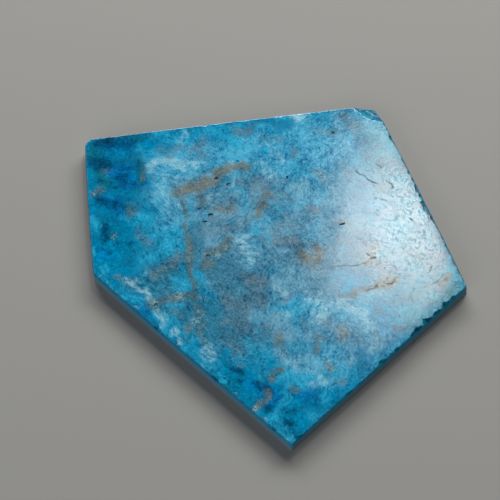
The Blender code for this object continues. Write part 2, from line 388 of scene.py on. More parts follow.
def fillRing(ring, spacing, finer):
    # triangles inside a ring, from a lattice of points that is finer round the breaks
    rng = np.random.default_rng(7)
    low, high = ring.min(0), ring.max(0)
    points = lattice(spacing, low, high, 0.12, rng)
    if finer:
        keep = np.ones(len(points), bool)
        extra = []
        for (cx, cy), centreHeight, (a, b, c), turn in allBreaks:
            reach = max(a, b) + 0.3
            fresh = lattice(slab["breakSpacing"], (cx - reach, cy - reach), (cx + reach, cy + reach), 0.1, rng)
            for cloud, isFresh in ((points, False), (fresh, True)):
                dx, dy = cloud[:, 0] - cx, cloud[:, 1] - cy
                u = (dx * math.cos(turn) + dy * math.sin(turn)) / (a + 0.25)
                v = (-dx * math.sin(turn) + dy * math.cos(turn)) / (b + 0.25)
                within = u * u + v * v < 1
                if isFresh:
                    extra.append(fresh[within])
                else:
                    keep &= ~within
        for width, strength, line in cracks:
            lineLow, lineHigh = np.min(line, 0) - 0.8, np.max(line, 0) + 0.8
            fresh = lattice(slab["breakSpacing"], lineLow, lineHigh, 0.1, rng)
            extra.append(fresh[distanceToLine(fresh, line) < 0.6])
            keep &= distanceToLine(points, line) >= 0.6
        grid = {}
        for point in np.concatenate(extra):  # overlapping breaks share their fine points
            grid.setdefault((round(point[0] / 0.11), round(point[1] / 0.11)), point)
        points = np.concatenate([points[keep], np.array(list(grid.values()))])
    points = points[insideRing(points, ring)]
    points = points[distanceToRing(points, ring) > (0.10 if finer else 0.8)]
    both = np.concatenate([ring, points])
    made = delaunay_2d_cdt([Vector(p) for p in both], [], [list(range(len(ring)))], 1, 1e-6)
    places = np.array([v[:] for v in made[0]])
    where = {}
    for new, olds in enumerate(made[3]):
        for old in olds:
            where[old] = new
    ringIndex = np.array([where[i] for i in range(len(ring))])
    triangles = np.array(made[2])
    p0, p1, p2 = (places[triangles[:, k]] for k in range(3))
    area = (p1[:, 0] - p0[:, 0]) * (p2[:, 1] - p0[:, 1]) - (p1[:, 1] - p0[:, 1]) * (p2[:, 0] - p0[:, 0])
    triangles[area < 0] = triangles[area < 0][:, ::-1]
    return places, triangles, ringIndex


def polishedHeight(places, fromEdge):
    corner = slab["cornerRoll"]
    fromCorner = np.linalg.norm(places - np.array(corner["at"]), axis=1)
    edgeDrop = slab["rollDepth"] * np.clip(1 - fromEdge / slab["rollWidth"], 0, 1) ** 2
    return slab["thickness"] - edgeDrop - corner["depth"] * np.clip(1 - fromCorner / corner["width"], 0, 1) ** 2


facePlaces, faceTriangles, faceRing = fillRing(innerRing, slab["faceSpacing"], True)
print("face points", len(facePlaces), "triangles", len(faceTriangles))

vertices, wallShare = [], []
faceHeight, faceGone = breakHeight(facePlaces, polishedHeight(facePlaces, distanceToRing(facePlaces, topOutline)))
vertices.append(np.column_stack([facePlaces, faceHeight]))
wallShare.append(np.zeros(len(facePlaces)))
goneParts = [faceGone]
rows = [faceRing]
total = len(facePlaces)
rowDrop = [0.0]
outlineHeight, outlineGone = breakHeight(topOutline, slab["thickness"] - roundings)
for step in range(1, slab["roundingSteps"] + 1):
    angle = math.pi / 2 * step / slab["roundingSteps"]
    places = innerRing + topOutward * (roundings * math.sin(angle))[:, None]
    level = polishedHeight(places, roundings * (1 - math.sin(angle))) - roundings * (1 - math.cos(angle))
    height, gone = breakHeight(places, level)
    vertices.append(np.column_stack([places, height]))
    wallShare.append(np.full(ringCount, step / slab["roundingSteps"] * 0.2))
    goneParts.append(gone)
    rows.append(np.arange(total, total + ringCount))
    total += ringCount
    rowDrop.append(slab["rounding"] * math.pi / 2 * step / slab["roundingSteps"])
rim = vertices[-1][:, 2]
for step in range(1, slab["wallRows"] + 1):
    share = step / slab["wallRows"]
    height = rim + (slab["footRounding"] - rim) * share
    lean = (1 - height / slab["thickness"])[:, None]
    places = topOutline + (footOutline - topOutline) * lean
    vertices.append(np.column_stack([places, height]))
    wallShare.append(np.full(ringCount, 0.2 + 0.8 * share))
    goneParts.append(outlineGone * 0)
    rows.append(np.arange(total, total + ringCount))
    total += ringCount
    rowDrop.append(rowDrop[-1] + (slab["thickness"] - 0.7) / slab["wallRows"])
for step in range(1, slab["roundingSteps"]):
    angle = math.pi / 2 * step / (slab["roundingSteps"] - 1)
    places = footOutline - footOutward * slab["footRounding"] * (1 - math.cos(angle))
    vertices.append(np.column_stack([places, np.full(ringCount, slab["footRounding"] * (1 - math.sin(angle)))]))
    wallShare.append(np.ones(ringCount))
    goneParts.append(np.zeros(ringCount))
    rows.append(np.arange(total, total + ringCount))
    total += ringCount
    rowDrop.append(rowDrop[-1] + 0.1)
underPlaces, underTriangles, underRing = fillRing(places, slab["undersideSpacing"], False)
isRing = np.zeros(len(underPlaces), bool)
isRing[underRing] = True
newIndex = np.full(len(underPlaces), -1)
newIndex[underRing] = rows[-1]
newIndex[~isRing] = np.arange(total, total + (~isRing).sum())
vertices.append(np.column_stack([underPlaces[~isRing], np.zeros((~isRing).sum())]))
wallShare.append(np.ones((~isRing).sum()))
goneParts.append(np.zeros((~isRing).sum()))
vertices = np.concatenate(vertices)
wallShare = np.concatenate(wallShare)
gone = np.concatenate(goneParts)
underTriangles = newIndex[underTriangles][:, ::-1]

quads = []
for upper, lower in zip(rows, rows[1:]):
    nextUpper, nextLower = np.roll(upper, -1), np.roll(lower, -1)
    quads.append(np.stack([upper, nextUpper, nextLower, lower], 1))
quads = np.concatenate(quads)
polygons = [list(map(int, t)) for t in faceTriangles]
polygons += [list(map(int, q)) for q in quads]
polygons += [list(map(int, t)) for t in underTriangles]
stoneMesh = bpy.data.meshes.new("apatiteStone")
boxLow, boxHigh = np.array(cadBox[0][:]) / mm, np.array(cadBox[1][:]) / mm
vertices = np.clip(vertices, boxLow, boxHigh)
stoneMesh.from_pydata((vertices * mm).tolist(), [], polygons)
print("slab mesh", len(vertices), "points", len(faceTriangles) + 2 * len(quads) + len(underTriangles), "triangles")

# UV map for the face, the sides in strips, and the underside small in one corner
unwrap = {"facePart": 0.80, "margin": 0.008, "strips": 3, "stripStart": 0.815, "stripPitch": 0.058, "underPart": 0.17}
uvLayer = stoneMesh.uv_layers.new(name="OFBake")
spread = topOutline.max(0) - topOutline.min(0)
faceScale = (unwrap["facePart"] - 2 * unwrap["margin"]) / spread.max()
faceUv = (vertices[:, :2] - topOutline.min(0)) * faceScale + unwrap["margin"]
underUv = (vertices[:, :2] - topOutline.min(0)) * (unwrap["underPart"] / spread.max()) + (unwrap["facePart"] + 0.01, 0.02)
stripLength = distanceAlong[-1] / unwrap["strips"]
stripScale = (1 - 2 * unwrap["margin"]) / stripLength
uvs = [faceUv[faceTriangles.ravel()]]
for row in range(len(rows) - 1):
    column = np.arange(ringCount)
    strip = np.minimum((distanceAlong[:-1] // stripLength).astype(int), unwrap["strips"] - 1)
    left = (distanceAlong[:-1] - strip * stripLength) * stripScale + unwrap["margin"]
    right = (distanceAlong[1:] - strip * stripLength) * stripScale + unwrap["margin"]
    high = unwrap["stripStart"] + (strip + 1) * unwrap["stripPitch"] - rowDrop[row] * stripScale - 0.004
    low = unwrap["stripStart"] + (strip + 1) * unwrap["stripPitch"] - rowDrop[row + 1] * stripScale - 0.004
    corner = np.stack([left, high, right, high, right, low, left, low], 1).reshape(-1, 2)
    uvs.append(corner)
uvs.append(underUv[underTriangles.ravel()])
uvLayer.data.foreach_set("uv", np.clip(np.concatenate(uvs), 0, 1).ravel())

# ---- the markings, each listed one by one: width, strength from 0 to 1, then the points of its middle line
markings = {
    # grey-blue veil over the middle of the face: partly the stone's milky grey, partly a painted sheen of light
    # scattered off the duller polish there
    "greyHazeAndSheen": {"dark": "2e6684", "pale": "7cb4d0", "flat": 3.0, "ragged": (3.0, 0.8),
                 "eatenBy": "clouds", "bite": 1.6, "soft": 0.45, "cover": 0.85, "places": [
        (14.0, 1.0, [(-12, 14), (-10, 4), (-6, -8)]), (16.0, 1.0, [(2, 6), (12, 4), (16, 6)]),
        (9.0, 0.8, [(-20, 20), (-14, 22)]), (12.0, 0.6, [(16, 14), (19, 22)]), (10.0, 0.7, [(-8, -14), (2, -17)]),
        (10.0, 0.7, [(10, -18), (18, -21)]), (12.0, 1.0, [(1, 19), (7, 14), (6, 6)]), (8.0, 0.9, [(4, -5), (12, -6)]),
        (6.0, 0.7, [(2, -23), (10, -25)]), (6.0, 0.5, [(22, -22), (25, -20)]),
    ]},
    "dimTeal": {"dark": "0c4964", "pale": "3a88a8", "flat": 3.0, "ragged": (3.0, 0.9),
                "eatenBy": "clouds", "bite": 1.6, "soft": 0.45, "cover": 0.80, "places": [
        (9.0, 1.0, [(-25, -3), (-19, -11), (-12, -17)]), (6.0, 0.8, [(-18.5, 1), (-18, 7)]), (6.0, 0.7, [(-12, -12), (-9, -9)]),
        (5.0, 0.6, [(-21, -20), (-15, -24)]), (6.0, 0.7, [(-32, -5), (-27, -8)]), (4.0, 0.6, [(-9, -30), (-3, -31)]),
        (8.0, 0.8, [(-12, 0), (-7, -3), (-8, -8)]), (7.0, 0.8, [(-9, -16), (-4, -19)]),
    ]},
    "teal": {"dark": "044c66", "pale": "64bcd4", "flat": 3.0, "ragged": (2.6, 0.8),
             "eatenBy": "clouds", "bite": 1.2, "soft": 0.45, "cover": 0.85, "places": [
        (15.0, 1.0, [(29, 32), (33, 16), (37, 4), (36, -8)]), (9.0, 0.8, [(25, 8), (27, -6)]),
        (4.0, 1.0, [(43.4, -6), (38, -10.5), (31, -17)]), (4.0, 1.0, [(39.4, 8), (43.6, -4)]),
    ]},
    "brightHaze": {"dark": "1280b0", "pale": "64c8ec", "flat": 2.5, "ragged": (2.6, 0.9),
                   "eatenBy": "fibres", "bite": 1.8, "soft": 0.45, "cover": 0.85, "places": [
        (9.0, 1.0, [(-27, 27), (-20, 29), (-10, 31), (1, 28)]), (7.0, 0.8, [(-27, 20), (-23, 12)]),
        (7.0, 0.8, [(-6, 36), (8, 38), (16, 34)]), (6.0, 0.7, [(9, -12), (20, -13), (24, -18)]),
        (6.0, 0.6, [(-6, 8), (-2, 12)]), (7.0, 0.6, [(4, 18), (10, 16)]), (5.0, 0.6, [(14, -24), (8, -26)]),
        (7.0, 0.9, [(1, 32), (7, 31), (13, 30)]), (6.0, 0.6, [(12, 9), (9, 5)]),
    ]},
    "deepBlue": {"dark": "004664", "pale": "00a0d4", "flat": 2.6, "ragged": (3.4, 1.0),
                 "eatenBy": "tone", "bite": 1.5, "soft": 0.42, "cover": 1.0, "places": [
        (16.0, 1.0, [(-38.8, 33.0), (-38.0, 22.0), (-37.5, 10.0), (-39.0, 0.0)]),  # left band
        (8.5, 1.0, [(-44, 34), (-34, 35.5), (-25, 37.2), (-15, 38.8)]),  # under the back edge
        (6.0, 0.8, [(-15, 38.8), (-4, 40.4), (4, 41.6)]),
        (5.0, 0.8, [(-40, -3.5), (-33, -10.5), (-26, -16.5), (-18, -24), (-10, -31.5), (0, -40.5)]),  # along the front left
        (9.0, 1.0, [(-12, -29), (-5, -31.5), (1, -36), (4, -41)]),  # front tip
        (5.0, 1.0, [(3, -35), (8, -35), (13, -32.5)]),
        (5.0, 0.9, [(-6, -27.5), (-1, -30)]),
        (5.0, 0.7, [(-17, -23), (-11, -25)]),
        (4.0, 0.7, [(16, -29), (21, -26)]),
        (3.0, 0.5, [(24, -23.5), (31, -17)]),  # along the front right
    ]},
    "pureBlue": {"dark": "003f78", "pale": "008ed8", "flat": 2.0, "ragged": (2.0, 0.8),
                 "eatenBy": "fibres", "bite": 1.5, "soft": 0.45, "cover": 0.8, "places": [
        (4.5, 1.0, [(-40.4, 33.6), (-35, 33.4)]), (5.0, 1.0, [(-36.5, 25.4), (-32.6, 22.4)]), (4.6, 0.9, [(-38, 16.2), (-34.6, 13.8)]),
        (3.0, 0.7, [(-40, 4), (-36.5, 1.5)]), (4.0, 0.7, [(-3.5, -30), (0, -34)]), (3.0, 0.7, [(6, -34), (9, -33)]),
        (3.4, 0.5, [(-31, 35.8), (-27, 36)]), (3.0, 0.6, [(-30, -9.5), (-27, -13)]),
    ]},
    "seaGreen": {"dark": "00343c", "pale": "16868e", "flat": 2.0, "ragged": (1.6, 0.8),
                 "eatenBy": "blotches", "bite": 1.6, "soft": 0.45, "cover": 0.75, "places": [
        (3.0, 1.0, [(-43.6, 30.6), (-42, 29.4)]), (3.4, 0.8, [(-41.4, 25.4), (-40, 22.4)]), (2.6, 0.7, [(-31.2, 27), (-31.6, 22.5)]),
        (2.6, 0.6, [(-40.2, 9.6), (-38, 7.2)]), (2.4, 0.6, [(-44, 33), (-36, 34.8), (-28, 36.2)]), (2.4, 0.6, [(-33.6, 15), (-33, 11.6)]),
        (3.0, 0.6, [(2, -41), (4.4, -43)]), (2.4, 0.5, [(-12, -29.5), (-8, -32)]), (3.0, 0.5, [(-26, -4), (-23, -2)]),
        (2.0, 0.5, [(40, -8.4), (43, -5.6)]),
    ]},
    "navy": {"dark": "002c40", "pale": "005f90", "flat": 2.0, "ragged": (1.2, 0.6),
             "eatenBy": "blotches", "bite": 1.6, "soft": 0.35, "cover": 0.9, "places": [
        (4.4, 1.0, [(-42.6, 28.2), (-40.6, 27.2)]), (2.8, 0.8, [(-42, 33.4), (-35, 32.6)]),
        (3.2, 0.7, [(-36.2, 23.6), (-35.2, 23.4)]), (3.0, 0.9, [(-40, 16.4), (-37, 14.6)]),
        (2.2, 0.9, [(-39.8, 9), (-38.2, 7)]), (1.4, 0.8, [(-37.2, 20.8)]), (1.6, 0.6, [(-35.4, 26.2), (-34.2, 25.8)]),
        (1.8, 0.6, [(-35.8, 5.3), (-32.4, 4.8)]), (1.2, 0.8, [(-41, 22.5)]), (1.6, 0.6, [(-39.2, 4), (-37, 2.5)]),
        (1.6, 1.0, [(-7.1, -30)]), (2.2, 0.9, [(-2.6, -30.4), (-0.9, -32.4)]), (2.0, 1.0, [(3.6, -40.4)]),
        (1.6, 0.9, [(-0.6, -35.4), (-1.8, -36.5)]), (1.8, 0.7, [(3.9, -33)]), (1.2, 0.8, [(-8.2, -27), (-6.4, -27.4)]),
        (1.2, 0.7, [(4.5, -37.5)]), (1.5, 0.8, [(5.5, -42.8)]), (1.6, 0.5, [(16.4, -28.8)]),
    ]},
    "brightCyan": {"dark": "0085b6", "pale": "35bce4", "flat": 2.0, "ragged": (1.2, 0.5),
                   "eatenBy": "fibres", "bite": 1.8, "soft": 0.40, "cover": 0.85, "places": [
        (3.8, 1.0, [(-20.6, -6.0), (-19.2, -6.2)]), (2.2, 0.9, [(-16.6, -2.8), (-15.8, -3.4)]),
        (3.0, 0.9, [(-9.8, 36), (-8.6, 33)]), (2.0, 0.6, [(-23.5, 35), (-21.5, 36)]), (3.0, 0.6, [(-28, 36), (-24.5, 36)]),
        (2.6, 0.9, [(-30.6, 12.4), (-28.5, 10.5)]), (1.0, 1.0, [(-41.2, 4), (-40.6, 2)]), (2.0, 0.7, [(-42.5, 12), (-41.6, 9)]),
        (2.0, 0.8, [(-2.0, 38), (0, 37.2)]), (1.6, 0.8, [(-1.8, 32), (-1.2, 30.6)]), (1.5, 0.9, [(2, 40.9), (6, 41.1)]),
        (2.0, 0.6, [(11, 41.5), (14, 42.3)]), (2.2, 0.8, [(-4, 9.4), (-3.2, 7.8)]), (1.8, 0.7, [(-0.8, 9), (-0.5, 6.5)]),
        (2.0, 0.5, [(1.5, 15.5), (4, 14.5)]), (2.4, 0.9, [(-24.6, -15.2), (-21.5, -19.4)]), (2.4, 0.7, [(-19, -22), (-15, -25), (-12, -26)]),
        (2.0, 0.7, [(-12.5, -27), (-10.5, -29.5)]), (2.0, 0.8, [(-5.5, -20), (-5.4, -22)]), (1.4, 0.6, [(-3, -15.5), (-3, -17.5)]),
        (2.2, 1.0, [(-0.8, -38.6), (0.6, -38.2)]), (2.2, 0.8, [(1.4, -40.6), (4.2, -43.6)]), (2.2, 0.7, [(2.8, -33.5), (1.6, -38)]),
        (2.4, 0.7, [(12, -31), (11, -34.5)]), (1.6, 0.7, [(8.5, -38.5)]), (2.2, 0.6, [(16.5, -28), (18.5, -27)]),
        (2.2, 0.8, [(-34, -9), (-30, -10)]), (2.4, 0.6, [(-38.5, -2), (-37, -5.5)]), (2.0, 0.4, [(-13.4, -12), (-10.5, -14.8)]),
        (1.4, 0.5, [(-22.5, -10.8), (-20.5, -11)]), (2.6, 0.6, [(-29, 1), (-26.5, 1.2)]), (2.8, 0.5, [(-24.4, 9.5), (-22.6, 8.5)]),
        (2.0, 0.5, [(-19, 17), (-18, 15)]), (2.2, 0.5, [(-34.5, 12), (-31.5, 9.5)]), (2.4, 0.5, [(-31.5, 31.5), (-29, 31)]),
        (1.8, 0.6, [(25.5, -12.5), (27.5, -11.5)]), (2.0, 0.5, [(41, 1.5), (42.4, -2.5), (43, -5)]),
        (4.4, 0.7, [(-25, 34.6), (-18, 35.8), (-12, 36.8)]), (3.0, 0.6, [(-12, 36.8), (-6, 38.6)]),
    ]},
    "milky": {"dark": "66b0ce", "pale": "aee0ee", "flat": 2.0, "ragged": (1.4, 0.7),
              "eatenBy": "fibres", "bite": 2.0, "soft": 0.45, "cover": 0.75, "places": [
        (2.8, 0.9, [(-28, 26.8), (-24, 28.2), (-19, 27.4)]), (1.2, 1.0, [(-16.9, 27.4), (-16.2, 27.2)]),
        (6.0, 0.42, [(-26.5, 20), (-22.5, 13.5)]), (4.0, 0.40, [(-25, 23), (-20, 24)]), (2.6, 0.6, [(0.8, 30), (2.2, 29)]),
        (2.6, 1.0, [(6.6, 40.9), (9.2, 41.3)]), (1.2, 0.6, [(-0.4, 32.8)]), (0.9, 0.7, [(-2.3, 33)]), (1.0, 0.7, [(-12.8, 29.7)]),
        (3.0, 0.4, [(-22.5, 32.5), (-21, 36)]), (1.2, 0.6, [(-10, 27.4), (-7, 26.9)]), (1.0, 0.6, [(-8.2, 23.6), (-8.7, 21.6)]),
        (2.4, 0.7, [(-4.4, 1.8), (-7, 4.6), (-8.6, 7.2)]), (1.8, 0.6, [(-6.4, 6.4), (-4.6, 7.2)]),
        (2.6, 0.6, [(-15, -24), (-13.6, -21.8), (-13, -24.6)]), (1.7, 0.7, [(-31.2, -5.4), (-28.6, -7.4), (-27.2, -9)]),
        (2.2, 0.4, [(-29, -3)]), (1.7, 0.6, [(-25.2, -12.2), (-24.2, -14), (-24.4, -16)]), (1.3, 0.7, [(-21.8, -17.4), (-20.4, -20.6)]),
        (2.6, 0.8, [(9.8, -10), (12.2, -10.6), (11.6, -13), (10.8, -15)]), (3.4, 0.9, [(15, -11), (18.4, -11.4), (20.2, -13.4), (21.4, -16)]),
        (2.0, 0.5, [(9.5, -13), (9, -17)]), (2.4, 0.5, [(12, -30.6), (11, -29), (9, -31)]), (3.0, 0.5, [(21, -9), (25, -8)]),
        (2.0, 0.5, [(3.5, -12.7)]), (2.0, 0.5, [(1.8, -6.6), (3, -7.6)]), (1.2, 0.4, [(-16.8, -9), (-15.5, -9.5)]),
        (4.0, 0.4, [(6.5, 20), (8, 23)]), (3.0, 0.5, [(-1.5, 27), (0, 24)]), (6.0, 0.3, [(15.0, 30), (18.5, 33)]),
        (5.0, 0.35, [(18.5, 19.5), (19.5, 12.5), (18.0, 8)]), (2.2, 0.4, [(-5.5, 19), (-3.2, 17.2)]), (2.0, 0.4, [(4.6, -25.6), (8, -24)]),
    ]},
    "slate": {"dark": "3c586a", "pale": "7c98a6", "flat": 2.0, "ragged": (1.5, 0.7),
              "eatenBy": "fibres", "bite": 1.6, "soft": 0.45, "cover": 0.75, "places": [
        (4.0, 0.9, [(-4.5, -4.8), (-1.8, -5.8)]), (4.4, 0.7, [(-3, -8), (-2, -10)]), (5.0, 0.7, [(-9.5, -11), (-6.2, -11.6), (-6.6, -16)]),
        (4.0, 0.6, [(-10.2, -15)]), (4.2, 0.6, [(-9, -20.5), (-7.4, -22)]), (3.0, 0.5, [(-4, -17), (-1.5, -16.4)]),
        (2.8, 0.8, [(8.8, 14.6), (11.5, 13.6)]), (3.0, 0.8, [(1, 6), (5.6, 4.8)]), (3.4, 0.6, [(0.6, 8.4)]), (3.0, 0.8, [(6.5, 31)]),
        (3.4, 0.6, [(11.4, 25.2), (12.6, 22.8)]), (4.4, 0.7, [(18.5, 40.5), (21.4, 38.6)]), (3.0, 0.5, [(11.5, 37.5), (13, 37)]),
        (2.4, 0.4, [(21.6, 33.6)]), (2.2, 0.5, [(2.4, 19), (5, 17.4)]), (3.8, 0.6, [(-16, 33), (-18.2, 31), (-16, 30.5)]),
        (2.2, 0.5, [(-24, 32), (-22, 33)]), (3.0, 0.7, [(-7.5, 37), (-5, 38)]), (3.0, 0.5, [(-1, 35), (2.4, 34.6)]),
        (4.2, 0.7, [(-6.6, 22.6), (-4.4, 21.6)]), (2.2, 0.6, [(-4.4, 20), (-2, 20.4)]), (3.4, 0.6, [(-9.8, 17.6), (-8.6, 16.2)]),
        (3.4, 0.8, [(-22, 1), (-24, -1.6), (-26.4, -3)]), (2.2, 0.6, [(-20.6, -13.2)]), (2.6, 0.7, [(-18.6, -16.4)]),
        (2.2, 0.6, [(-24, -9.4)]), (1.9, 0.8, [(27.6, -16.4), (30.2, -16.2)]), (2.4, 0.5, [(24, -11.8), (24.6, -13)]),
        (2.2, 0.5, [(13, -14.4), (12.4, -16)]), (2.2, 0.5, [(2.4, -9.6), (4.2, -8.8)]), (2.4, 0.5, [(-30.4, 8.6), (-29, 4.6)]),
        (3.2, 0.4, [(0.5, -1), (-1.6, -0.8)]), (2.4, 0.4, [(3, -23), (2.4, -21.6)]), (2.0, 0.6, [(-14.6, 11.4), (-11, 10.8)]),
        (5.0, 0.5, [(-15, 8), (-9, 8.4)]), (2.4, 0.5, [(6.6, -13.4), (7.4, -15.4)]), (2.6, 0.4, [(16, 38.6), (18, 36)]),
    ]},
    "ochre": {"dark": "414c42", "pale": "968d74", "flat": 1.2, "ragged": (0.9, 0.9),
              "eatenBy": "speckle", "bite": 1.2, "soft": 0.50, "cover": 0.84, "places": [
        (2.0, 1.0, [(-22.2, 18.4), (-19.1, 20.6), (-17, 21.2), (-15.1, 22.4), (-13.2, 23.8), (-11, 25.4)]),  # long upper seam
        (1.6, 0.9, [(-11, 25.6), (-8, 26.2), (-5.0, 26.4)]),
        (1.8, 0.8, [(-0.9, 18.6), (-1.4, 16), (-2.6, 13.9), (-3.9, 12.2)]), (1.8, 0.4, [(-4.2, 12), (-6.6, 11.4)]),
        (1.8, 0.7, [(-12.8, 15), (-10.2, 13.9), (-8.3, 14.9)]), (1.8, 0.3, [(-10.2, 9), (-7, 9.4)]),
        (1.5, 0.7, [(15.8, -8.9), (17.8, -9), (20.4, -7.8), (22.7, -7.2)]),
        (1.6, 0.7, [(22.7, -7.2), (24.2, -6.4), (25.4, -5.7), (28.2, -5.0)]), (2.4, 0.5, [(25.0, -4.8), (27.6, -4.4)]),
        (2.6, 0.9, [(7.2, 2.2), (8.2, 1.2)]), (2.8, 0.9, [(10, 3.4), (10.8, 1.2)]), (3.4, 0.4, [(9.2, -1), (12, -2)]),
        (2.6, 0.6, [(22.3, 1.0), (23.2, 2.4), (24.2, 3.8)]), (2.6, 0.5, [(22.6, 0.4), (25.2, -0.6)]), (1.7, 0.8, [(40.2, -3.6), (39.4, -5.4)]),
        (1.6, 0.5, [(36.2, -6), (37.6, -6.2), (39, -5)]), (1.3, 0.8, [(12.8, -27), (12.6, -25.2)]),
        (2.3, 0.7, [(15.8, -17.4), (16, -18.8)]), (1.5, 0.5, [(13.8, -29.8), (15.4, -29)]), (3.0, 0.35, [(17.4, 26), (18.4, 24.4)]),
        (1.2, 0.6, [(16.4, 11.1), (17.8, 10.8)]), (2.2, 0.3, [(0.5, 11), (3.6, 10)]), (2.2, 0.3, [(14, 7.4), (15.6, 6.4)]),
        (2.0, 0.5, [(31.0, -9.5), (33.5, -8.6)]), (3.0, 0.3, [(29, 4), (31, 2)]),
    ]},
    "rust": {"dark": "3c2c18", "pale": "80643f", "flat": 1.2, "ragged": (0.7, 0.9),
             "eatenBy": "speckle", "bite": 1.6, "soft": 0.50, "cover": 0.62, "places": [
        (1.8, 0.9, [(22.6, 1.2), (23.4, 2.6), (24.0, 3.4)]), (1.3, 0.9, [(24.2, -6.4), (25.6, -5.4), (28.0, -4.8)]),
        (1.1, 0.6, [(40.2, -3.6), (39.4, -5.2)]), (1.4, 0.5, [(7.6, 1.8), (8.4, 0.8)]), (1.4, 0.5, [(10.2, 3.0), (10.8, 1.4)]),
        (0.8, 0.5, [(17.8, -9.0), (20.4, -7.8), (22.7, -7.2)]),
    ]},
    "brown": {"dark": "344a4c", "pale": "788782", "flat": 1.6, "ragged": (0.9, 0.6),
              "eatenBy": "speckle", "bite": 1.8, "soft": 0.50, "cover": 0.80, "places": [
        (1.5, 0.8, [(-17.2, 19.6), (-16.2, 17.2), (-16, 15.6)]), (2.2, 0.6, [(-22.4, 17.4)]),
        (0.8, 0.9, [(-21.4, 16.6), (-20.4, 14.6), (-19.2, 12.2), (-20.2, 10.8)]), (1.2, 0.8, [(-20.2, 10.8), (-20, 7.4)]),
        (2.1, 1.0, [(-19.7, 6.6), (-18.9, 3.6), (-18.9, 1)]),  # seam down the left
        (1.3, 0.9, [(-18.8, 0.4), (-18.3, -3), (-17.9, -5.4), (-17.5, -9.4)]),
        (1.7, 1.0, [(-9.3, 6), (-10.5, 4.2), (-12.4, 3), (-13.8, 2.9)]), (2.0, 1.0, [(-14.4, 1.6), (-14.3, -0.8)]),
        (0.9, 0.9, [(-35.4, -3.2), (-34.6, -3.9)]), (1.8, 0.9, [(-26.8, -10.4), (-25.6, -11.0)]),
        (1.5, 0.8, [(-24.9, -10), (-21.1, -9.0), (-17.8, -8.4)]), (1.9, 0.8, [(1.2, -19.2), (1.2, -20.6)]),
        (1.2, 0.8, [(10.2, -19), (10.3, -21), (10.0, -23)]), (1.4, 0.9, [(2.3, -26.9), (0.8, -28), (0.3, -29.5)]), (1.6, 1.0, [(4.9, -31.9)]),
        (1.0, 0.6, [(22.6, -17.2), (23.9, -20)]), (1.1, 0.5, [(27.6, -16.2)]), (1.2, 1.0, [(-1.1, -32.6), (-2.5, -34.7), (-3.4, -36.2)]),
        (1.4, 0.6, [(-7, -25.8)]), (2.0, 0.8, [(15.2, 36.6)]), (2.2, 0.5, [(-26.9, 31.4), (-25, 29.8), (-24.3, 29.5)]),
        (1.4, 0.6, [(-30.2, 26), (-30.8, 23)]), (2.2, 0.6, [(-32.2, 14.7), (-32.7, 13.3)]), (1.9, 0.5, [(-39.6, 25.2)]),
        (1.7, 0.8, [(-41.7, 18.8), (-40.3, 20)]), (1.2, 0.7, [(-28.2, 24)]), (2.2, 0.35, [(-28.6, 5)]), (1.1, 0.5, [(-6.3, 38.3)]),
        (1.6, 0.6, [(-15.2, -16.4), (-16.4, -18.4), (-14.8, -20.8)]), (1.8, 0.5, [(-16.8, -11), (-16.2, -14.6)]),
    ]},
    "cream": {"dark": "6f9ba2", "pale": "c4dcd8", "flat": 1.0, "ragged": (0.4, 0.5),
              "eatenBy": "specks", "bite": 3.0, "soft": 0.35, "cover": 0.55, "places": [
        (0.7, 1.0, [(-12.4, 2.3), (-12.0, 2.0)]), (0.6, 0.9, [(-10.8, 4.3), (-10.4, 3.8)]), (0.5, 0.8, [(-15.7, 2.2)]),
        (0.7, 0.9, [(-14.6, 18.0), (-13.8, 17.9)]), (0.6, 0.9, [(-12.7, 18.7)]), (0.5, 0.8, [(-11.9, 17.8)]), (0.5, 0.7, [(-14.9, 16.4)]),
        (1.1, 1.0, [(-21.4, -8.6), (-20.6, -9.0)]), (1.0, 0.9, [(-26.7, -10.2), (-26.2, -10.6)]), (0.8, 0.9, [(-17.4, -15.5), (-16.8, -15.2)]),
        (0.5, 0.8, [(-14.8, -19.9)]), (0.6, 0.7, [(-15.6, -13.4)]), (1.2, 0.9, [(-33.1, -4.8), (-32, -5.7)]), (0.8, 0.9, [(-4.0, -36.9), (-3.5, -36.2)]),
        (1.1, 0.45, [(-36.9, 6.6), (-36.4, 7.4)]), (0.4, 0.9, [(-9.1, -3.0)]), (0.5, 0.6, [(-8.8, -9.2)]), (0.6, 0.8, [(16.9, -25.2)]),
        (0.6, 0.8, [(22.8, -7.0)]), (0.5, 0.7, [(12.8, -24.6)]), (0.8, 0.4, [(-41.6, 18.4), (-40.8, 17.8)]), (0.5, 0.7, [(-17.4, -0.3)]),
        (0.6, 0.7, [(-39.1, -3.9)]), (0.6, 0.7, [(-35.2, -7.6)]), (0.6, 0.7, [(-30.6, -11.4)]), (0.6, 0.7, [(-20.8, -20.6)]),
        (0.6, 0.7, [(-7.9, -33.0)]), (0.8, 0.8, [(-1.6, -38.8)]), (0.6, 0.7, [(2.2, -42.6)]), (0.6, 0.7, [(3.4, -43.4)]),
        (0.5, 0.6, [(24.2, -5.4)]), (0.6, 0.6, [(36.4, -6.6)]), (2.0, 0.35, [(-16.5, -12.5), (-15.6, -14.6)]),
    ]},
    "darkEdge": {"dark": "002c3a", "pale": "0a6a78", "flat": 2.5, "ragged": (0.5, 0.5),
                 "eatenBy": "blotches", "bite": 1.6, "soft": 0.30, "cover": 0.95, "places": [
        (1.6, 1.0, [(35.4, 20.2), (36.6, 16.6)]), (2.4, 1.0, [(37.0, 15.6), (38.4, 11.6)]), (0.8, 0.8, [(38.4, 11.6), (41.4, 3.4)]),
        (1.4, 0.8, [(29.4, 36.4), (30.6, 33.2)]), (0.7, 0.7, [(30.6, 33.2), (35.4, 20.2)]), (0.7, 0.8, [(41.4, 3.4), (44.2, -4.6)]),
    ]},
    "crack": {"dark": "0e2c36", "pale": "31535c", "flat": 2.5, "ragged": (0.12, 0.30),
              "eatenBy": "grit", "bite": 1.6, "soft": 0.30, "cover": 0.85, "places": cracks},
}
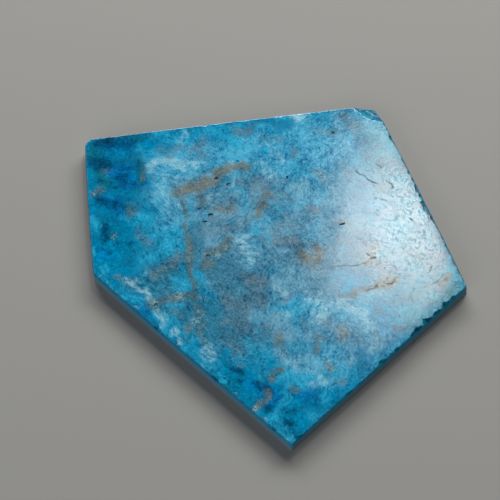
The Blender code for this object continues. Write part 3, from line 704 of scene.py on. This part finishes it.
# where the polish is crazed with hairline cracks, fading out over the rest of the face
crazedPlaces = [(36.0, 1.0, [(33, 30), (35, 12), (31, -8)])]
# directions of the fibres in the grains, in degrees from the slab's width: place, then direction
grains = [
    (-38, 28, 70), (-38, 14, 100), (-36, 0, 130), (-24, 27, -12), (-25, 16, -50), (-24, 6, 95), (-20, 35, -60),
    (-14, 33, -72), (-8, 30, -50), (0, 28, 92), (3, 36, 100), (12, 38, 40), (10, 28, 85), (18, 32, 60), (24, 34, 35),
    (22, 24, -45), (30, 24, 45), (14, 17, 88), (24, 14, -10), (33, 15, -35), (36, 5, 60), (28, 5, -60), (18, 3, 80),
    (-14, 20, 35), (-15, 8, 92), (-6, 14, 60), (3, 12, -60), (10, 12, -20), (2, 2, -65), (-8, 0, -15), (-14, -8, 88),
    (-4, -6, 85), (6, -4, 80), (14, -5, -30), (24, -3, 20), (36, -6, 40), (-26, -5, -40), (-20, -14, -65), (-12, -14, -33),
    (-8, -20, -35), (1, -15, 88), (6, -20, 75), (12, -13, 70), (18, -13, -35), (26, -12, -30), (32, -13, 70), (14, -23, 80),
    (22, -20, 100), (8, -28, 75), (-2, -30, 50), (4, -38, 95), (-10, -28, -40), (-30, -10, -40),
]

places = vertices[:, :2]
broadWarp = noiseAt(places, 5.5, 11.0, 2)
fineWarp = noiseAt(places, 1.4, 23.0, 2)


def addAttribute(name, values):
    layer = stoneMesh.attributes.new(name, "FLOAT", "POINT")
    layer.data.foreach_set("value", np.ascontiguousarray(values, dtype=np.float32))


def maskOf(points, lines, flat):
    # 1 on the lines, half at their edges, fading to 0
    mask = np.zeros(len(points))
    for width, strength, line in lines:
        away = distanceToLine(points, line) / (width / 2)
        mask = np.maximum(mask, strength * 0.5 ** (away ** flat))
    return mask


for name, marking in markings.items():
    broad, fine = marking["ragged"]
    addAttribute(name, maskOf(places + broadWarp * broad + fineWarp * fine, marking["places"], marking["flat"]))
addAttribute("crazed", maskOf(places + broadWarp * 3.0, crazedPlaces, 2.2))

grainPlaces = np.array([g[:2] for g in grains], float)
warped = places + broadWarp * 2.2 + fineWarp * 0.5
nearest = ((warped[:, None, :] - grainPlaces[None]) ** 2).sum(2).argmin(1)
grainRng = np.random.default_rng(3)
addAttribute("fibreTurn", np.radians([-g[2] for g in grains])[nearest])
addAttribute("grainTone", grainRng.uniform(-1, 1, len(grains))[nearest])
addAttribute("wallShare", wallShare)
addAttribute("brokenDepth", gone)
print("markings placed")

# ---- blue apatite, sawn, ground and polished: a deep blue stone clouded with pale fibres, with a wet-looking
# gloss that shows fine cracks and streaks where it mirrors the light; the sawn sides stay dull
apatite = {
    "ior": 1.63,
    "polishRoughness": 0.09,
    "rubbedRoughness": 0.85,
    "breakRoughness": 0.22,
    "shallowRoughness": 0.45,  # of pits and small nicks
    "breakGlossLoss": 0.36,  # a fresh break mirrors far less than the polish
    "bodyDark": "005f8a",
    "bodyPale": "34bce6",
    "wisps": "82d0e8",  # pale feathery fibres
    "flecks": "0c3f55",  # small dark grains
    "hairline": "164a5e",
    "breakDark": "003a6c",
    "breakPale": "0a90a4",
    # painted shade: the thin dark line along the rounded edge of the face, where it mirrors little light
    "rubbedEdgeShade": "0a6480",
    # the sides in two bands: a painted glow of light scattered in from the face at the top, and grey at the foot,
    # partly the sawn stone's own grey and partly a painted reflection of the floor
    "sideTopGlow": "1a8db0",
    "sideFootGreyAndReflection": "6f868f",
    # sizes in mm
    "fibreLength": 2.2,
    "fibreWidth": 0.75,
    "fineFibreLength": 0.9,
    "fineFibreWidth": 0.36,
    "cloudSize": 5.0,
    "blotchSize": 1.3,
    "gritSize": 0.45,
    "speckSize": 0.30,
    "hairlineLength": 2.6,
    "hairlineGap": 0.80,
    "crackleSize": 1.1,
    "hairlineWidth": 0.18,
    "relief": 0.012,
}
stone = bpy.data.materials.new("polishedBlueApatite")
stone.use_nodes = True
tree = stone.node_tree
tree.nodes.clear()
objectSpace = addNode(tree, "ShaderNodeTexCoord", out=3)
inMm = addNode(tree, "ShaderNodeVectorMath", {"operation": "SCALE"}, {0: objectSpace, "Scale": 1 / mm})
drift = addNode(tree, "ShaderNodeTexNoise", {}, {"Vector": inMm, "Scale": 0.35, "Detail": 3.0}, out=1)
centred = addNode(tree, "ShaderNodeVectorMath", {"operation": "SUBTRACT"}, {0: drift, 1: (0.5, 0.5, 0.5)})
driftMm = addNode(tree, "ShaderNodeVectorMath", {"operation": "SCALE"}, {0: centred, "Scale": 2.4})
wandering = addNode(tree, "ShaderNodeVectorMath", {"operation": "ADD"}, {0: inMm, 1: driftMm})
turn = addNode(tree, "ShaderNodeAttribute", {"attribute_name": "fibreTurn"}, out=2)
alongFibres = addNode(tree, "ShaderNodeVectorRotate", {"rotation_type": "Z_AXIS"}, {"Vector": wandering, "Angle": turn})


def patterned(vector, size, detail, roughness, curl=0.0):
    # cloudy pattern with patches of about this many mm, or of this length and width
    if isinstance(size, tuple):
        vector = addNode(tree, "ShaderNodeVectorMath", {"operation": "MULTIPLY"},
                         {0: vector, 1: (1 / size[0], 1 / size[1], 1 / size[1])})
        size = 1.0
    return addNode(tree, "ShaderNodeTexNoise", {},
                   {"Vector": vector, "Scale": 1 / size, "Detail": detail, "Roughness": roughness, "Distortion": curl})


def crackLines(vector, size, halfWidth):
    # thin lines between cells of this length and width in mm: 1 on the line, 0 beside it
    squeezed = addNode(tree, "ShaderNodeVectorMath", {"operation": "MULTIPLY"},
                       {0: vector, 1: (1 / size[0], 1 / size[1], 1 / size[1])})
    edges = addNode(tree, "ShaderNodeTexVoronoi", {"feature": "DISTANCE_TO_EDGE"}, {"Vector": squeezed, "Scale": 1.0})
    return addNode(tree, "ShaderNodeMapRange", {},
                   {"Value": edges, "From Min": 0.0, "From Max": halfWidth / size[1], "To Min": 1.0, "To Max": 0.0})


def weighted(parts, middle=0.5):
    # several patterns added up, each by its weight, round a middle value
    total = middle - sum(weight for part, weight in parts) / 2
    for part, weight in parts:
        total = addNode(tree, "ShaderNodeMath", {"operation": "MULTIPLY_ADD"}, {0: part, 1: weight, 2: total})
    return total


def shareBetween(value, low, high, most=1.0):
    # 0 below low, most above high, and a soft step between them
    return addNode(tree, "ShaderNodeMapRange", {"interpolation_type": "SMOOTHSTEP"},
                   {"Value": value, "From Min": low, "From Max": high, "To Min": 0.0, "To Max": most})


def laidOver(under, over, share):
    return addNode(tree, "ShaderNodeMix", {"data_type": "RGBA"}, {0: share, 6: under, 7: over}, out=2)


patterns = {
    "fibres": patterned(alongFibres, (apatite["fibreLength"], apatite["fibreWidth"]), 5.0, 0.65, 0.5),
    "fineFibres": patterned(alongFibres, (apatite["fineFibreLength"], apatite["fineFibreWidth"]), 3.0, 0.6, 0.4),
    "clouds": patterned(inMm, apatite["cloudSize"], 6.0, 0.62, 0.3),
    "blotches": patterned(wandering, apatite["blotchSize"], 5.0, 0.65, 0.4),
    "grit": patterned(inMm, apatite["gritSize"], 3.0, 0.7),
    "specks": patterned(inMm, apatite["speckSize"], 1.0, 0.5),
}
grainTone = addNode(tree, "ShaderNodeAttribute", {"attribute_name": "grainTone"}, out=2)
patterns["tone"] = weighted([
    (patterns["clouds"], 0.9), (patterns["fibres"], 0.60), (patterns["fineFibres"], 0.50),
    (patterns["blotches"], 0.70), (patterns["grit"], 1.00), (grainTone, 0.06),
], 0.5 + 0.05)
patterns["speckle"] = weighted([
    (patterns["blotches"], 0.9), (patterns["fibres"], 0.7), (patterns["fineFibres"], 0.5), (patterns["grit"], 0.25),
])
toneShare = addNode(tree, "ShaderNodeMapRange", {}, {"Value": patterns["tone"], "From Min": 0.22, "From Max": 0.78})

colour = laidOver(hexColour(apatite["bodyDark"]), hexColour(apatite["bodyPale"]), toneShare)
markShares = {}
for name, marking in markings.items():
    mask = addNode(tree, "ShaderNodeAttribute", {"attribute_name": name}, out=2)
    eaten = weighted([(patterns[marking["eatenBy"]], 2 * marking["bite"])], 1.0)
    torn = addNode(tree, "ShaderNodeMath", {"operation": "MULTIPLY"}, {0: mask, 1: eaten})
    markShares[name] = shareBetween(torn, 0.5 - marking["soft"], 0.5 + marking["soft"], marking["cover"])
    shades = laidOver(hexColour(marking["dark"]), hexColour(marking["pale"]), toneShare)
    colour = laidOver(colour, shades, markShares[name])

# feathery pale fibres, hairline cracks and dark grains over everything
wispPattern = weighted([(patterns["fibres"], 1.0), (patterns["fineFibres"], 0.6), (patterns["clouds"], 0.9)])
wisps = shareBetween(wispPattern, 0.60, 0.95, 0.40)
blueHere = addNode(tree, "ShaderNodeMath", {"operation": "SUBTRACT"}, {0: 1.0, 1: markShares["deepBlue"]})
wisps = addNode(tree, "ShaderNodeMath", {"operation": "MULTIPLY"}, {0: wisps, 1: blueHere})
colour = laidOver(colour, hexColour(apatite["wisps"]), wisps)
crazed = addNode(tree, "ShaderNodeAttribute", {"attribute_name": "crazed"}, out=2)
longCracks = crackLines(alongFibres, (apatite["hairlineLength"], apatite["hairlineGap"]), apatite["hairlineWidth"] / 2)
crackle = crackLines(wandering, (apatite["crackleSize"], apatite["crackleSize"]), apatite["hairlineWidth"] / 2)
longCracks = addNode(tree, "ShaderNodeMath", {"operation": "MULTIPLY"}, {0: longCracks, 1: shareBetween(patterns["blotches"], 0.48, 0.58)})
crackle = addNode(tree, "ShaderNodeMath", {"operation": "MULTIPLY"}, {0: crackle, 1: shareBetween(patterns["fibres"], 0.50, 0.62, 0.35)})
hairlines = addNode(tree, "ShaderNodeMath", {"operation": "MAXIMUM"}, {0: longCracks, 1: crackle})
hairlineDepth = addNode(tree, "ShaderNodeMath", {"operation": "MULTIPLY_ADD"}, {0: crazed, 1: 0.45, 2: 0.20})
hairlineShade = addNode(tree, "ShaderNodeMath", {"operation": "MULTIPLY"}, {0: hairlines, 1: hairlineDepth})
colour = laidOver(colour, hexColour(apatite["hairline"]), hairlineShade)
fleckPattern = weighted([(patterns["grit"], 1.0), (patterns["blotches"], 0.6)])
flecks = addNode(tree, "ShaderNodeMapRange", {}, {"Value": fleckPattern, "From Min": 0.24, "From Max": 0.34, "To Min": 0.55, "To Max": 0.0})
colour = laidOver(colour, hexColour(apatite["flecks"]), flecks)

# fresh breaks, then painted shade on the rubbed edge, then the sawn sides: teal with a painted glow at the top, grey
# with a partly painted floor reflection towards the foot
brokenDepth = addNode(tree, "ShaderNodeAttribute", {"attribute_name": "brokenDepth"}, out=2)
wallPlace = addNode(tree, "ShaderNodeAttribute", {"attribute_name": "wallShare"}, out=2)
broken = shareBetween(brokenDepth, 0.02, 0.10, 0.9)
breakShades = laidOver(hexColour(apatite["breakDark"]), hexColour(apatite["breakPale"]), shareBetween(patterns["blotches"], 0.34, 0.66))
colour = laidOver(colour, breakShades, broken)
# painted shade: the rounded edge is painted darker teal where it turns away from the light; the same mask also makes
# the rubbed edge and the sides rough
rubbed = shareBetween(wallPlace, 0.0, 0.05)
colour = laidOver(colour, hexColour(apatite["rubbedEdgeShade"]), addNode(tree, "ShaderNodeMath", {"operation": "MULTIPLY"}, {0: rubbed, 1: 0.6}))
# sides painted lighter teal at the top as a painted glow of light scattered in from the face, and grey towards the
# foot, partly the sawn stone's dull grey and partly a painted reflection of the floor
side = shareBetween(wallPlace, 0.10, 0.26, 0.9)
footShare = shareBetween(wallPlace, 0.40, 0.80)
sideShades = laidOver(hexColour(apatite["sideTopGlow"]), hexColour(apatite["sideFootGreyAndReflection"]), footShare)
colour = laidOver(colour, sideShades, side)

# the crazed part has a slight relief and a patchy, duller polish; the clear deep blue is smooth
relief = weighted([(patterns["grit"], 0.13), (longCracks, -0.03)])
relief = addNode(tree, "ShaderNodeMath", {"operation": "MULTIPLY"}, {0: relief, 1: crazed})
relief = addNode(tree, "ShaderNodeMath", {"operation": "MULTIPLY_ADD"}, {0: markShares["crack"], 1: -0.25, 2: relief})
bump = addNode(tree, "ShaderNodeBump", {}, {"Strength": 1.0, "Distance": apatite["relief"] * mm, "Height": relief})
dullPattern = weighted([
    (patterns["fineFibres"], 0.8), (patterns["fibres"], 0.4), (patterns["grit"], 0.9),
    (patterns["specks"], 0.8), (patterns["clouds"], 0.4),
])
dull = shareBetween(dullPattern, 0.50, 0.85, 0.36)
dull = addNode(tree, "ShaderNodeMath", {"operation": "MULTIPLY_ADD"}, {0: longCracks, 1: 0.14, 2: dull})
dull = addNode(tree, "ShaderNodeMath", {"operation": "MULTIPLY"}, {0: dull, 1: crazed})
dull = addNode(tree, "ShaderNodeMath", {"operation": "MULTIPLY_ADD"}, {0: markShares["crack"], 1: 0.4, 2: dull})
dull = addNode(tree, "ShaderNodeMath", {"operation": "MULTIPLY_ADD"}, {0: crazed, 1: 0.095, 2: dull})
roughness = addNode(tree, "ShaderNodeMath", {"operation": "ADD"}, {0: dull, 1: apatite["polishRoughness"]})
breakPolish = addNode(tree, "ShaderNodeMix", {"data_type": "FLOAT"},
                      {0: shareBetween(brokenDepth, 0.20, 0.50), 2: apatite["shallowRoughness"], 3: apatite["breakRoughness"]})
breakRough = addNode(tree, "ShaderNodeMix", {"data_type": "FLOAT"}, {0: broken, 2: roughness, 3: breakPolish})
roughness = addNode(tree, "ShaderNodeMath", {"operation": "MULTIPLY_ADD"},
                    {0: rubbed, 1: apatite["rubbedRoughness"] - apatite["polishRoughness"], 2: breakRough})
gloss = addNode(tree, "ShaderNodeMath", {"operation": "MULTIPLY_ADD"},
                {0: shareBetween(brokenDepth, 0.0, 0.03), 1: -apatite["breakGlossLoss"], 2: 0.5})
shader = addNode(tree, "ShaderNodeBsdfPrincipled", {},
                 {"Base Color": colour, "Roughness": roughness, "Specular IOR Level": gloss, "Normal": bump})
shader.node.inputs["IOR"].default_value = apatite["ior"]
addNode(tree, "ShaderNodeOutputMaterial", {}, {"Surface": shader})

stoneMesh.materials.append(stone)
stonePiece = bpy.data.objects.new("polishedSlab", stoneMesh)
bpy.context.scene.collection.objects.link(stonePiece)
stoneMesh.shade_smooth()
stoneMesh.set_sharp_from_angle(angle=math.radians(25))
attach(stonePiece, "root")
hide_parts("apatite_slab")
print("slab finished")
